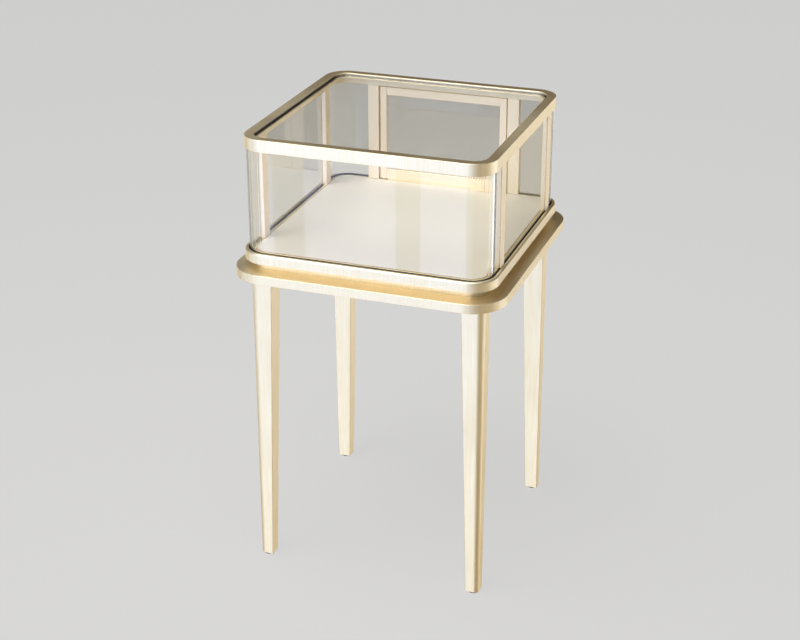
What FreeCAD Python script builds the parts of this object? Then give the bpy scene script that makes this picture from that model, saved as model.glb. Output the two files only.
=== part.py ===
"""Jewelry display cabinet: a square glass case with a rear door, on a plinth with four tapered legs.

Millimetres, +Z up, front towards -Y, origin on the floor under the middle of the cabinet.
Every rounded outline is concentric with the plinth's: it is set back from the plinth's face by a named amount.
"""
import FreeCAD
import Part
import Sketcher
import math
import os

SIZES = {
    # Legs: square and tapered, outer faces upright, only the outer corner rounded
    "leg_height": 687.0,
    "leg_top_width": 49.0,
    "leg_foot_width": 29.5,
    "leg_top_radius": 16.0,
    "leg_foot_radius": 12.0,
    "leg_setback": 40.0,
    "leg_wall": 2.0,
    "leg_cap": 5.0,
    "glide_height": 3.0,
    "glide_radius": 12.0,
    "glide_stem_radius": 3.0,
    "glide_stem_length": 7.0,
    # Leg bolts: two hexagon bolts per leg, sunk into the plinth board
    "bolt_radius": 4.0,
    "bolt_head_radius": 7.5,
    "bolt_head_height": 5.3,
    "bolt_head_room": 1.5,
    "bolt_head_cover": 0.7,
    "bolt_spread": 9.0,
    "bolt_tail": 4.0,
    "bolt_room": 0.25,
    # Plinth, neck and base: boards under gold sheet
    "plinth_width": 600.0,
    "plinth_radius": 78.0,
    "plinth_height": 20.5,
    "neck_setback": 40.0,
    "neck_height": 17.5,
    "ring_setback": 20.0,
    "ring_height": 22.0,
    "sheet_thickness": 1.5,
    "core_fit": 0.2,
    # Screws that join plinth, neck and base from below
    "screw_radius": 2.5,
    "screw_head_radius": 4.75,
    "screw_head_height": 2.5,
    "screw_bite": 9.0,
    "screw_pitch": 180.0,
    "screw_from_edge": 35.0,
    # Rim, glazing slot, bead and deck on top of the base
    "rim_width": 9.5,
    "slot_width": 6.5,
    "slot_depth": 6.5,
    "trim_width": 9.5,
    "gasket_base": 3.0,
    "gasket_drop": 0.4,
    "gasket_fit": 0.1,
    "deck_gap": 0.5,
    "deck_board_thickness": 5.0,
    "deck_pad_thickness": 1.3,
    # Glass case
    "case_height": 223.0,
    "glass_thickness": 5.0,
    "glass_fit": 0.3,
    "glass_insert": 3.5,
    "glass_rise": 7.0,
    "groove_room": 0.5,
    "post_width": 26.0,
    "post_proud": 1.0,
    "post_wall": 1.5,
    "front_post_setback": 116.0,
    "rear_post_setback": 100.0,
    # Top ring with a ledge for the recessed glass top
    "top_setback": 27.0,
    "top_width": 20.0,
    "top_height": 27.0,
    "top_floor": 5.0,
    "top_recess": 4.5,
    "top_glass_thickness": 5.0,
    "seal_width": 3.0,
    "seal_base": 1.5,
    "seal_seat": 1.5,
    "ledge_width": 7.0,
    "ledge_thickness": 2.0,
    # Rear door between the jambs
    "door_opening": 310.0,
    "door_gap": 3.0,
    "door_lift": 2.0,
    "door_drop": 2.0,
    "door_recess": 2.5,
    "stile_width": 16.0,
    "rail_top_height": 19.5,
    "rail_bottom_height": 25.0,
    "door_glass_insert": 5.5,
    "stop_height": 5.0,
    "stop_gap": 0.3,
    "stop_start": 24.0,
    "stop_end": 27.0,
    # Pivot pins and bushes
    "pivot_from_face": 6.0,
    "pin_radius": 2.5,
    "pin_depth": 12.0,
    "pin_end_gap": 0.5,
    "bush_radius": 4.0,
    "bush_flange_radius": 6.0,
    "bush_flange_gap": 0.2,
    "running_fit": 0.05,
    "press_fit": 0.02,
    # Cam lock at the foot of the lock stile
    "lock_height": 10.0,
    "barrel_radius": 6.0,
    "barrel_flange_radius": 7.5,
    "barrel_flange_thickness": 1.5,
    "lock_nut_radius": 7.8,
    "lock_nut_gap": 0.2,
    "plug_radius": 4.0,
    "key_slot_width": 1.2,
    "key_slot_height": 5.0,
    "key_slot_depth": 5.0,
    "cam_gap": 1.0,
    "cam_float": 0.2,
    "cam_thickness": 2.0,
    "cam_hub_radius": 5.5,
    "cam_width": 8.0,
    "cam_reach": 18.0,
    "cam_screw_radius": 1.5,
    "cam_screw_length": 6.0,
    "cam_screw_head_radius": 3.0,
    "cam_screw_head_height": 2.0,
    # How far every cutting tool runs past the piece it cuts
    "overrun": 2.0,
}

doc = FreeCAD.newDocument("cabinet")
dims = doc.addObject("Spreadsheet::Sheet", "dims")
for row, (alias, size) in enumerate(SIZES.items(), start=1):
    dims.set(f"A{row}", alias)
    dims.set(f"B{row}", str(size))
    dims.setAlias(f"B{row}", alias)
doc.recompute()


# Places that several pieces share, as expressions of the sheet's sizes


def face(setback):
    """Distance from the middle to an outline that is set back from the plinth's face."""
    return f"(dims.plinth_width / 2 - ({setback}))"


def corner(setback):
    """Corner radius of an outline that is set back from the plinth's face."""
    return f"(dims.plinth_radius - ({setback}))"


SHEET = "dims.sheet_thickness"
CORE = f"({SHEET} + dims.core_fit)"
PLINTH_FLOOR = "(dims.glide_height + dims.leg_height)"
PLINTH_TOP = f"({PLINTH_FLOOR} + dims.plinth_height)"
RING_FLOOR = f"({PLINTH_TOP} + dims.neck_height)"
RING_TOP = f"({RING_FLOOR} + dims.ring_height)"
SLOT_FLOOR = f"({RING_TOP} - dims.slot_depth)"
CASE_TOP = f"({RING_TOP} + dims.case_height)"
TOP = f"({CASE_TOP} + dims.top_height)"

SLOT_OUT = "(dims.ring_setback + dims.rim_width)"
SLOT_IN = f"({SLOT_OUT} + dims.slot_width)"
TRIM_IN = f"({SLOT_IN} + dims.trim_width)"
GLASS_OUT = f"({SLOT_OUT} + (dims.slot_width - dims.glass_thickness) / 2)"
GLASS_IN = f"({GLASS_OUT} + dims.glass_thickness)"
POST_OUT = f"({SLOT_OUT} - dims.post_proud)"
GLASS_FLOOR = f"({SLOT_FLOOR} + dims.gasket_base)"
GLASS_TOP = f"({CASE_TOP} + dims.glass_rise)"
GROOVE = "(dims.glass_insert + dims.groove_room)"
JAMB_IN = "(dims.door_opening / 2)"
JAMB_OUT = f"({JAMB_IN} + dims.post_width)"
TOP_IN = "(dims.top_setback + dims.top_width)"
FLANK = face("0")


def value(expression):
    """The number that an expression of the sheet's sizes gives."""
    return float(dims.evalExpression(expression))


# Building blocks


def box(name, across, along, upward):
    """A box between pairs of expressions along X, Y and Z."""
    item = doc.addObject("Part::Box", name)
    for size, axis, (low, high) in zip(("Length", "Width", "Height"), "xyz", (across, along, upward)):
        item.setExpression(size, f"({high}) - ({low})")
        item.setExpression(f".Placement.Base.{axis}", low)
    return item


def aim(item, middle, span, axis):
    """Puts a round or hexagonal item on its axis, along Z or Y, between the two ends of its span."""
    places = dict(zip("xy" if axis == "z" else "xz", middle))
    places[axis] = span[0]
    if axis == "y":
        item.Placement.Rotation = FreeCAD.Rotation(FreeCAD.Vector(1, 0, 0), -90)
    item.setExpression("Height", f"({span[1]}) - ({span[0]})")
    for letter, place in places.items():
        item.setExpression(f".Placement.Base.{letter}", place)
    return item


def rod(name, radius, middle, span, axis="z"):
    """A cylinder along Z, or along Y."""
    item = doc.addObject("Part::Cylinder", name)
    item.setExpression("Radius", radius)
    return aim(item, middle, span, axis)


def hexagon(name, radius, middle, span, axis="z"):
    """A hexagonal prism along Z, or along Y, by the radius to its corners."""
    item = doc.addObject("Part::Prism", name)
    item.Polygon = 6
    item.setExpression("Circumradius", radius)
    return aim(item, middle, span, axis)


def group(name, items):
    """Separate solids that make one piece, or one tool."""
    item = doc.addObject("Part::Compound", name)
    item.Links = items
    return item


def cut(name, base, *tools):
    """The base without the tools."""
    item = doc.addObject("Part::Cut", name)
    item.Base = base
    item.Tool = tools[0] if len(tools) == 1 else group(f"{name}_tools", list(tools))
    return item


def common(name, base, tool):
    """The share of the base that lies in the tool."""
    item = doc.addObject("Part::Common", name)
    item.Base = base
    item.Tool = tool
    return item


def fuse(name, *items):
    """The items joined into one solid."""
    item = doc.addObject("Part::MultiFuse", name)
    item.Shapes = list(items)
    item.Refine = True
    return item


def sketch_on(body, name, height):
    """A level sketch in a body, at a height."""
    sketch = body.newObject("Sketcher::SketchObject", name)
    plane = next(feature for feature in body.Origin.OriginFeatures if feature.Role == "XY_Plane")
    sketch.AttachmentSupport = [(plane, "")]
    sketch.MapMode = "FlatFace"
    sketch.setExpression(".AttachmentOffset.Base.z", height)
    return sketch


def constrain(sketch, name, expression, *constraint):
    """Adds a named size to a sketch and binds it to an expression."""
    index = sketch.addConstraint(Sketcher.Constraint(*constraint, value(expression)))
    sketch.renameConstraint(index, name)
    sketch.setExpression(f"Constraints.{name}", expression)


def rounded_square(sketch, name, setback):
    """A square with four equal corner arcs round the sketch's origin."""
    half = value(face(setback))
    radius = value(corner(setback))
    centre = half - radius
    arcs = []
    for quarter, (x, y) in enumerate(((1, -1), (1, 1), (-1, 1), (-1, -1))):
        start = math.radians(90 * quarter - 90)
        circle = Part.Circle(FreeCAD.Vector(x * centre, y * centre, 0), FreeCAD.Vector(0, 0, 1), radius)
        arcs.append(sketch.addGeometry(Part.ArcOfCircle(circle, start, start + math.pi / 2)))
    lines = []
    for quarter in range(4):
        ends = (sketch.getPoint(arcs[quarter], 2), sketch.getPoint(arcs[(quarter + 1) % 4], 1))
        lines.append(sketch.addGeometry(Part.LineSegment(*ends)))
    for quarter in range(4):
        sketch.addConstraint(Sketcher.Constraint("Tangent", arcs[quarter], 2, lines[quarter], 1))
        sketch.addConstraint(Sketcher.Constraint("Tangent", lines[quarter], 2, arcs[(quarter + 1) % 4], 1))
        sketch.addConstraint(Sketcher.Constraint(("Vertical", "Horizontal")[quarter % 2], lines[quarter]))
    for arc in arcs[1:]:
        sketch.addConstraint(Sketcher.Constraint("Equal", arcs[0], arc))
    sketch.addConstraint(Sketcher.Constraint("Equal", lines[0], lines[1]))
    sketch.addConstraint(Sketcher.Constraint("Symmetric", arcs[0], 3, arcs[2], 3, -1, 1))
    constrain(sketch, f"{name}_radius", corner(setback), "Radius", arcs[0])
    constrain(sketch, f"{name}_half", face(setback), "DistanceX", -1, 1, lines[0], 1)


def slab(name, setback, low, high, hole=None):
    """A rounded square plate between two heights; with a hole's setback it is a ring."""
    body = doc.addObject("PartDesign::Body", name)
    sketch = sketch_on(body, f"{name}_outline", low)
    rounded_square(sketch, "outer", setback)
    if hole is not None:
        rounded_square(sketch, "inner", hole)
    pad = body.newObject("PartDesign::Pad", f"{name}_pad")
    pad.Profile = sketch
    pad.setExpression("Length", f"({high}) - ({low})")
    return body


def mirrored(sign, low, high):
    """The pair low, high on the positive side, or its mirror image."""
    return (low, high) if sign > 0 else (f"-({high})", f"-({low})")


QUADRANTS = {
    "rear_right": (1, 1),
    "rear_left": (-1, 1),
    "front_left": (-1, -1),
    "front_right": (1, -1),
}

# Bolts, screws and the holes that they need

LEG_FACE = face("dims.leg_setback")
BOLT_SEAT = f"({PLINTH_TOP} - {SHEET} - dims.bolt_head_cover - dims.bolt_head_height)"
BOLT_END = f"({PLINTH_FLOOR} - dims.leg_cap - dims.bolt_tail)"
SCREW_END = f"({RING_FLOOR} + {SHEET} + dims.screw_bite)"


def bolt_places():
    """Two places per leg, either side of the middle of its top."""
    middle = f"({LEG_FACE} - dims.leg_top_width / 2)"
    near = f"({middle} - dims.bolt_spread)"
    far = f"({middle} + dims.bolt_spread)"
    for right, rear in QUADRANTS.values():
        for across, along in ((near, far), (far, near)):
            yield f"{right} * {across}", f"{rear} * {along}"


def screw_places():
    """Two places per quadrant, one pitch apart along each side of the neck."""
    near = "(dims.screw_pitch / 2)"
    far = f"({face('dims.neck_setback')} - dims.screw_from_edge)"
    for right, rear in QUADRANTS.values():
        for across, along in ((near, far), (far, near)):
            yield f"{right} * {across}", f"{rear} * {along}"


def rods(name, radius, places, span):
    """One rod at each place, as one tool."""
    return group(name, [rod(f"{name}_{index}", radius, place, span) for index, place in enumerate(places)])


bolt_threads = rods("bolt_threads", "dims.bolt_radius + dims.press_fit", bolt_places(),
                    (BOLT_END, f"{PLINTH_FLOOR} + dims.overrun"))
bolt_ways = rods("bolt_ways", "dims.bolt_radius + dims.bolt_room", bolt_places(),
                 (f"{PLINTH_FLOOR} - dims.overrun", BOLT_SEAT))
bolt_sinks = rods("bolt_sinks", "dims.bolt_head_radius + dims.bolt_head_room", bolt_places(),
                  (BOLT_SEAT, f"{PLINTH_TOP} + dims.overrun"))
screw_ways = rods("screw_ways", "dims.screw_radius + dims.press_fit", screw_places(),
                  (f"{PLINTH_FLOOR} - dims.overrun", SCREW_END))


def fasteners():
    """The leg bolts and the screws through the stack, each kind as one group."""
    bolts = []
    for index, place in enumerate(bolt_places()):
        head = hexagon(f"bolt_head_{index}", "dims.bolt_head_radius", place,
                       (BOLT_SEAT, f"{BOLT_SEAT} + dims.bolt_head_height"))
        shank = rod(f"bolt_shank_{index}", "dims.bolt_radius", place, (BOLT_END, BOLT_SEAT))
        bolts.append(fuse(f"bolt_{index}", head, shank))
    screws = []
    for index, place in enumerate(screw_places()):
        head = rod(f"screw_head_{index}", "dims.screw_head_radius", place,
                   (f"{PLINTH_FLOOR} - dims.screw_head_height", PLINTH_FLOOR))
        shank = rod(f"screw_shank_{index}", "dims.screw_radius", place, (PLINTH_FLOOR, SCREW_END))
        screws.append(fuse(f"screw_{index}", head, shank))
    return [group("leg_bolts", bolts), group("stack_screws", screws)]


# Legs and glides


def leg_section(body, name, height, outer, inner, radius):
    """A square between the inner and outer faces, with its outer corner rounded."""
    far = value(outer)
    near = value(inner)
    bend = value(radius)
    sketch = sketch_on(body, name, height)
    points = [(near, near), (far, near), (far, far - bend), (far - bend, far), (near, far)]
    points = [FreeCAD.Vector(x, y, 0) for x, y in points]
    inner_side = sketch.addGeometry(Part.LineSegment(points[0], points[1]))
    outer_side = sketch.addGeometry(Part.LineSegment(points[1], points[2]))
    circle = Part.Circle(FreeCAD.Vector(far - bend, far - bend, 0), FreeCAD.Vector(0, 0, 1), bend)
    arc = sketch.addGeometry(Part.ArcOfCircle(circle, 0, math.pi / 2))
    outer_end = sketch.addGeometry(Part.LineSegment(points[3], points[4]))
    inner_end = sketch.addGeometry(Part.LineSegment(points[4], points[0]))
    for first, second in ((inner_side, outer_side), (outer_end, inner_end), (inner_end, inner_side)):
        sketch.addConstraint(Sketcher.Constraint("Coincident", first, 2, second, 1))
    for first, second in ((outer_side, arc), (arc, outer_end)):
        sketch.addConstraint(Sketcher.Constraint("Tangent", first, 2, second, 1))
    for line, direction in ((inner_side, "Horizontal"), (outer_side, "Vertical"),
                            (outer_end, "Horizontal"), (inner_end, "Vertical")):
        sketch.addConstraint(Sketcher.Constraint(direction, line))
    constrain(sketch, "outer_across", outer, "DistanceX", -1, 1, outer_side, 1)
    constrain(sketch, "outer_along", outer, "DistanceY", -1, 1, outer_end, 1)
    constrain(sketch, "inner_across", inner, "DistanceX", -1, 1, inner_side, 1)
    constrain(sketch, "inner_along", inner, "DistanceY", -1, 1, inner_side, 1)
    constrain(sketch, "corner_radius", radius, "Radius", arc)
    return sketch


def leg_share(top, foot, share):
    """A size of the tapered leg at a share of its height, 0 at the foot and 1 at the top."""
    return f"(dims.{foot} + (dims.{top} - dims.{foot}) * ({share}))"


def legs():
    """Four hollow legs, closed by a plate at each end, each standing on a glide."""
    pieces = []
    foot = f"({LEG_FACE} - dims.leg_foot_width / 2)"
    stems = []
    glides = []
    for place, (right, rear) in QUADRANTS.items():
        middle = (f"{right} * {foot}", f"{rear} * {foot}")
        pad = rod(f"glide_pad_{place}", "dims.glide_radius", middle, ("0", "dims.glide_height"))
        stem_end = "dims.glide_height + dims.glide_stem_length"
        stem = rod(f"glide_stem_{place}", "dims.glide_stem_radius", middle, ("dims.glide_height", stem_end))
        glides.append(fuse(f"foot_glide_{place}", pad, stem))
        stems.append(rod(f"glide_hole_{place}", "dims.glide_stem_radius + dims.press_fit", middle, ("0", stem_end)))
    stem_holes = group("stem_holes", stems)
    for turn, place in enumerate(QUADRANTS):
        body = doc.addObject("PartDesign::Body", f"leg_tube_{place}")
        body.Placement.Rotation = FreeCAD.Rotation(FreeCAD.Vector(0, 0, 1), 90 * turn)
        outside = []
        hollow = []
        cap_share = "dims.leg_cap / dims.leg_height"
        for end, share, inset in (("foot", "0", cap_share), ("top", "1", f"1 - {cap_share}")):
            width = leg_share("leg_top_width", "leg_foot_width", share)
            bend = leg_share("leg_top_radius", "leg_foot_radius", share)
            outside.append(leg_section(body, f"{end}_{place}", f"dims.glide_height + dims.leg_height * ({share})",
                                       LEG_FACE, f"{LEG_FACE} - {width}", bend))
            width = leg_share("leg_top_width", "leg_foot_width", inset)
            bend = leg_share("leg_top_radius", "leg_foot_radius", inset)
            hollow.append(leg_section(body, f"{end}_hollow_{place}",
                                      f"dims.glide_height + dims.leg_height * ({inset})",
                                      f"{LEG_FACE} - dims.leg_wall",
                                      f"{LEG_FACE} - {width} + dims.leg_wall", f"{bend} - dims.leg_wall"))
        for kind, sections in (("AdditiveLoft", outside), ("SubtractiveLoft", hollow)):
            loft = body.newObject(f"PartDesign::{kind}", f"{kind}_{place}")
            loft.Profile = sections[0]
            loft.Sections = [(sections[1], [""])]
            loft.Ruled = True
        pieces.append(cut(f"leg_{place}", body, bolt_threads, stem_holes))
    return pieces + glides


# Plinth, neck and base: boards wrapped in gold sheet


def plinth():
    """The wide lower plate: a sheet cover over a board, closed by a panel from below."""
    below = f"{PLINTH_FLOOR} - dims.overrun"
    shell = slab("plinth_shell", "0", PLINTH_FLOOR, PLINTH_TOP)
    inside = slab("plinth_inside", SHEET, below, f"{PLINTH_TOP} - {SHEET}")
    core = slab("plinth_core", CORE, f"{PLINTH_FLOOR} + {SHEET}", f"{PLINTH_TOP} - {SHEET}")
    floor = slab("plinth_floor", CORE, PLINTH_FLOOR, f"{PLINTH_FLOOR} + {SHEET}")
    return [
        cut("plinth_cover", shell, inside, screw_ways),
        cut("plinth_board", core, bolt_ways, bolt_sinks, screw_ways),
        cut("plinth_panel", floor, bolt_ways, screw_ways),
    ]


def neck():
    """The recessed neck that leaves a shadow gap between plinth and base."""
    band = slab("neck_band", "dims.neck_setback", PLINTH_TOP, RING_FLOOR, hole=f"dims.neck_setback + {SHEET}")
    core = slab("neck_core", f"dims.neck_setback + {CORE}", PLINTH_TOP, RING_FLOOR)
    return [band, cut("neck_board", core, screw_ways)]


def base():
    """The base ring with its rim, the board inside it, and the panel that closes it from below."""
    outer = "dims.ring_setback"
    above = f"{RING_TOP} + dims.overrun"
    block = slab("ring_block", outer, RING_FLOOR, RING_TOP)
    inside = slab("ring_inside", f"{outer} + {SHEET}", f"{RING_FLOOR} - dims.overrun", f"{RING_TOP} - {SHEET}")
    mouth = slab("ring_mouth", SLOT_OUT, f"{RING_TOP} - {SHEET} - dims.overrun", above)
    lip = slab("ring_lip", f"{SLOT_OUT} - {SHEET}", SLOT_FLOOR, RING_TOP, hole=SLOT_OUT)
    core = slab("base_core", f"{outer} + {CORE}", f"{RING_FLOOR} + {SHEET}", f"{RING_TOP} - {SHEET}")
    bed = slab("base_bed", f"{SLOT_OUT} - {CORE}", SLOT_FLOOR, above)
    floor = slab("base_floor", f"{outer} + {CORE}", RING_FLOOR, f"{RING_FLOOR} + {SHEET}")
    return [
        fuse("base_ring", cut("ring_shell", block, inside, mouth), lip),
        cut("base_board", core, bed, screw_ways),
        cut("base_panel", floor, screw_ways),
    ]


def door_way(name):
    """The stretch of slot and bead that the door sill takes."""
    along = (f"{face(TRIM_IN)} - dims.overrun", f"{face(SLOT_OUT)} + dims.overrun")
    upward = (f"{SLOT_FLOOR} - dims.overrun", f"{RING_TOP} + dims.overrun")
    return box(name, (f"-{JAMB_IN}", JAMB_IN), along, upward)


PIVOT = (f"-({JAMB_IN} - dims.door_gap - dims.stile_width / 2)", f"({face(POST_OUT)} - dims.pivot_from_face)")


def deck():
    """The glazing gasket, the bead, the deck and the door sill on top of the base board."""
    strip = slab("gasket_strip", f"{SLOT_OUT} + dims.gasket_fit", SLOT_FLOOR, f"{RING_TOP} - dims.gasket_drop",
                 hole=f"{SLOT_IN} - dims.gasket_fit")
    channel = slab("gasket_channel", GLASS_OUT, GLASS_FLOOR, f"{RING_TOP} + dims.overrun", hole=GLASS_IN)
    bead = slab("bead_loop", SLOT_IN, SLOT_FLOOR, RING_TOP, hole=TRIM_IN)
    edge = f"{TRIM_IN} + dims.deck_gap"
    pad_floor = f"{SLOT_FLOOR} + dims.deck_board_thickness"
    sill = box("sill_bar", (f"-{JAMB_IN}", JAMB_IN), (face(TRIM_IN), face(SLOT_OUT)), (SLOT_FLOOR, RING_TOP))
    stop = box("sill_stop", (f"-{JAMB_IN} + dims.stop_start", f"{JAMB_IN} - dims.stop_end"),
               (face(TRIM_IN), f"{face(TRIM_IN)} + dims.door_recess - dims.stop_gap"),
               (f"{RING_TOP} - dims.overrun", f"{RING_TOP} + dims.stop_height"))
    bush_hole = rod("sill_bush_hole", "dims.bush_radius + dims.press_fit", PIVOT,
                    (f"{SLOT_FLOOR} - dims.overrun", f"{RING_TOP} + dims.overrun"))
    return [
        cut("glass_gasket", strip, channel, door_way("gasket_door_way")),
        cut("deck_trim", bead, door_way("trim_door_way")),
        slab("deck_board", edge, SLOT_FLOOR, pad_floor),
        slab("deck_pad", edge, pad_floor, f"{pad_floor} + dims.deck_pad_thickness"),
        cut("door_sill", fuse("sill_with_stop", sill, stop), bush_hole),
    ]


# Posts, jambs and panes


def upright(name, wall, sign, run, grooved):
    """A tube from the base to the top ring in the wall across "x" or "y", on the side with the sign.

    The run is its reach along the wall. The named ends of the run have a groove for a pane.
    """
    low, high = run
    across = mirrored(sign, face(TRIM_IN), face(POST_OUT))
    pane = mirrored(sign, f"{face(GLASS_IN)} - dims.glass_fit", f"{face(GLASS_OUT)} + dims.glass_fit")
    bore = mirrored(sign, f"{face(TRIM_IN)} + dims.post_wall", f"{face(POST_OUT)} - dims.post_wall")
    ends = {"low": (f"{low} - dims.overrun", f"{low} + {GROOVE}"),
            "high": (f"{high} - {GROOVE}", f"{high} + dims.overrun")}
    inside = (f"{low} + {GROOVE} + dims.post_wall", f"{high} - {GROOVE} - dims.post_wall")
    upward = (f"{RING_TOP} - dims.overrun", f"{CASE_TOP} + dims.overrun")

    def block(suffix, through, reach, height):
        spans = (through, reach) if wall == "x" else (reach, through)
        return box(f"{name}_{suffix}", *spans, height)

    tools = [block(f"groove_{end}", pane, ends[end], upward) for end in grooved]
    tools.append(block("bore", bore, inside, upward))
    return cut(name, block("bar", across, run, (RING_TOP, CASE_TOP)), *tools)


FRONT_POST = (f"-{face('dims.front_post_setback')}", f"(dims.post_width - {face('dims.front_post_setback')})")
REAR_POST = (f"({face('dims.rear_post_setback')} - dims.post_width)", face("dims.rear_post_setback"))


def posts():
    """Two posts in each side wall and the two jambs of the door."""
    pieces = []
    for side, sign, outer_end in (("left", -1, "low"), ("right", 1, "high")):
        for end, run in (("front", FRONT_POST), ("rear", REAR_POST)):
            pieces.append(upright(f"post_{end}_{side}", "x", sign, run, ("low", "high")))
        pieces.append(upright(f"jamb_{side}", "y", 1, mirrored(sign, JAMB_IN, JAMB_OUT), (outer_end,)))
    return pieces


def panes():
    """Five panes cut from one loop of glass; each end stands in the groove of its post."""
    upward = (f"{GLASS_FLOOR} - dims.overrun", f"{GLASS_TOP} + dims.overrun")
    loop = slab("glass_loop", GLASS_OUT, GLASS_FLOOR, GLASS_TOP, hole=GLASS_IN)
    front = box("front_reach", (f"-{FLANK}", FLANK), (f"-{FLANK}", f"{FRONT_POST[0]} + dims.glass_insert"), upward)
    pieces = [common("front_glass", loop, front)]
    for side, sign in (("left", -1), ("right", 1)):
        reach = mirrored(sign, "dims.overrun", FLANK)
        along = (f"{FRONT_POST[1]} - dims.glass_insert", f"{REAR_POST[0]} + dims.glass_insert")
        pieces.append(common(f"side_glass_{side}", loop, box(f"side_reach_{side}", reach, along, upward)))
        reach = mirrored(sign, f"{JAMB_OUT} - dims.glass_insert", FLANK)
        along = (f"{REAR_POST[1]} - dims.glass_insert", FLANK)
        pieces.append(common(f"corner_glass_{side}", loop, box(f"corner_reach_{side}", reach, along, upward)))
    return pieces


# Top ring with its ledge, seal and recessed glass

TOP_GLASS_TOP = f"({TOP} - dims.top_recess)"
TOP_GLASS_FLOOR = f"({TOP_GLASS_TOP} - dims.top_glass_thickness)"
LEDGE_TOP = f"({TOP_GLASS_FLOOR} - dims.seal_base)"


def top():
    """A hollow ring that holds the panes from above and carries the glass top on a ledge."""
    floor = f"({CASE_TOP} + dims.top_floor)"
    block = slab("top_block", "dims.top_setback", CASE_TOP, TOP, hole=TOP_IN)
    hollow = slab("top_hollow", f"dims.top_setback + {SHEET}", floor, f"{TOP} - {SHEET}", hole=f"{TOP_IN} - {SHEET}")
    loop = slab("top_slot_loop", f"{GLASS_OUT} - dims.glass_fit", f"{CASE_TOP} - dims.overrun",
                f"{floor} + dims.overrun", hole=f"{GLASS_IN} + dims.glass_fit")
    head = box("door_head", (f"-{JAMB_IN}", JAMB_IN), ("0", FLANK), (RING_TOP, TOP))
    bush_hole = rod("top_bush_hole", "dims.bush_radius + dims.press_fit", PIVOT,
                    (f"{CASE_TOP} - dims.overrun", f"{floor} + dims.overrun"))
    frame = cut("top_frame", block, hollow, cut("top_slot", loop, head), bush_hole)
    ledge = slab("top_ledge", f"{TOP_IN} - {SHEET} / 2", f"{LEDGE_TOP} - dims.ledge_thickness", LEDGE_TOP,
                 hole=f"{TOP_IN} + dims.ledge_width")
    pane_edge = f"{TOP_IN} + dims.seal_width"
    seal_wall = slab("seal_wall", f"{TOP_IN} + dims.gasket_fit", LEDGE_TOP, TOP_GLASS_TOP, hole=pane_edge)
    seal_foot = slab("seal_foot", f"{TOP_IN} + dims.gasket_fit", LEDGE_TOP, TOP_GLASS_FLOOR,
                     hole=f"{pane_edge} + dims.seal_seat")
    return [
        fuse("top_ring", frame, ledge),
        fuse("top_seal", seal_wall, seal_foot),
        slab("top_glass", f"{pane_edge} + dims.gasket_fit", TOP_GLASS_FLOOR, TOP_GLASS_TOP),
    ]


# Rear door on pivot pins

DOOR_HALF = f"({JAMB_IN} - dims.door_gap)"
STILE_IN = f"({DOOR_HALF} - dims.stile_width)"
DOOR_FLOOR = f"({RING_TOP} + dims.door_lift)"
DOOR_TOP = f"({CASE_TOP} - dims.door_drop)"
DOOR_IN = f"({face(TRIM_IN)} + dims.door_recess)"
DOOR_OUT = face(POST_OUT)
DOOR_GROOVE = "(dims.door_glass_insert + dims.groove_room)"
PANE_FLOOR = f"({DOOR_FLOOR} + dims.rail_bottom_height)"
PANE_TOP = f"({DOOR_TOP} - dims.rail_top_height)"
LOCK = (f"({DOOR_HALF} - dims.stile_width / 2)", f"({DOOR_FLOOR} + dims.lock_height)")


def door():
    """Two stiles, two rails and a pane, with a pivot pin at each end of the hinge stile."""
    depth = (DOOR_IN, DOOR_OUT)
    groove_across = (f"-({STILE_IN} + {DOOR_GROOVE})", f"{STILE_IN} + {DOOR_GROOVE}")
    groove_depth = (f"{face(GLASS_IN)} - dims.glass_fit", f"{face(GLASS_OUT)} + dims.glass_fit")
    groove_upward = (f"{PANE_FLOOR} - dims.door_glass_insert", f"{PANE_TOP} + {DOOR_GROOVE}")
    groove = box("door_groove", groove_across, groove_depth, groove_upward)
    low_pin = (f"{SLOT_FLOOR} + dims.pin_end_gap", f"{DOOR_FLOOR} + dims.pin_depth")
    high_pin = (f"{DOOR_TOP} - dims.pin_depth", f"{CASE_TOP} + dims.top_floor - dims.pin_end_gap")
    pins = [rod("pin_low", "dims.pin_radius", PIVOT, low_pin), rod("pin_high", "dims.pin_radius", PIVOT, high_pin)]
    pin_holes = [rod("pin_hole_low", "dims.pin_radius + dims.press_fit", PIVOT, low_pin),
                 rod("pin_hole_high", "dims.pin_radius + dims.press_fit", PIVOT, high_pin)]
    lock_hole = rod("lock_hole", "dims.barrel_radius + dims.press_fit", LOCK,
                    (f"{DOOR_IN} - dims.overrun", f"{DOOR_OUT} + dims.overrun"), axis="y")
    height = (DOOR_FLOOR, DOOR_TOP)
    hinge_bar = box("hinge_bar", mirrored(-1, STILE_IN, DOOR_HALF), depth, height)
    lock_bar = box("lock_bar", mirrored(1, STILE_IN, DOOR_HALF), depth, height)
    between = (f"-{STILE_IN}", STILE_IN)
    low_bar = box("low_bar", between, depth, (DOOR_FLOOR, PANE_FLOOR))
    high_bar = box("high_bar", between, depth, (PANE_TOP, DOOR_TOP))
    pane_across = (f"-({STILE_IN} + dims.door_glass_insert)", f"{STILE_IN} + dims.door_glass_insert")
    pane_upward = (f"{PANE_FLOOR} - dims.door_glass_insert", f"{PANE_TOP} + dims.door_glass_insert")
    return [
        cut("door_stile_hinge", hinge_bar, groove, *pin_holes),
        cut("door_stile_lock", lock_bar, groove, lock_hole),
        cut("door_rail_bottom", low_bar, groove),
        cut("door_rail_top", high_bar, groove),
        box("door_glass", pane_across, (face(GLASS_IN), face(GLASS_OUT)), pane_upward),
        group("door_pins", pins),
    ]


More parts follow.
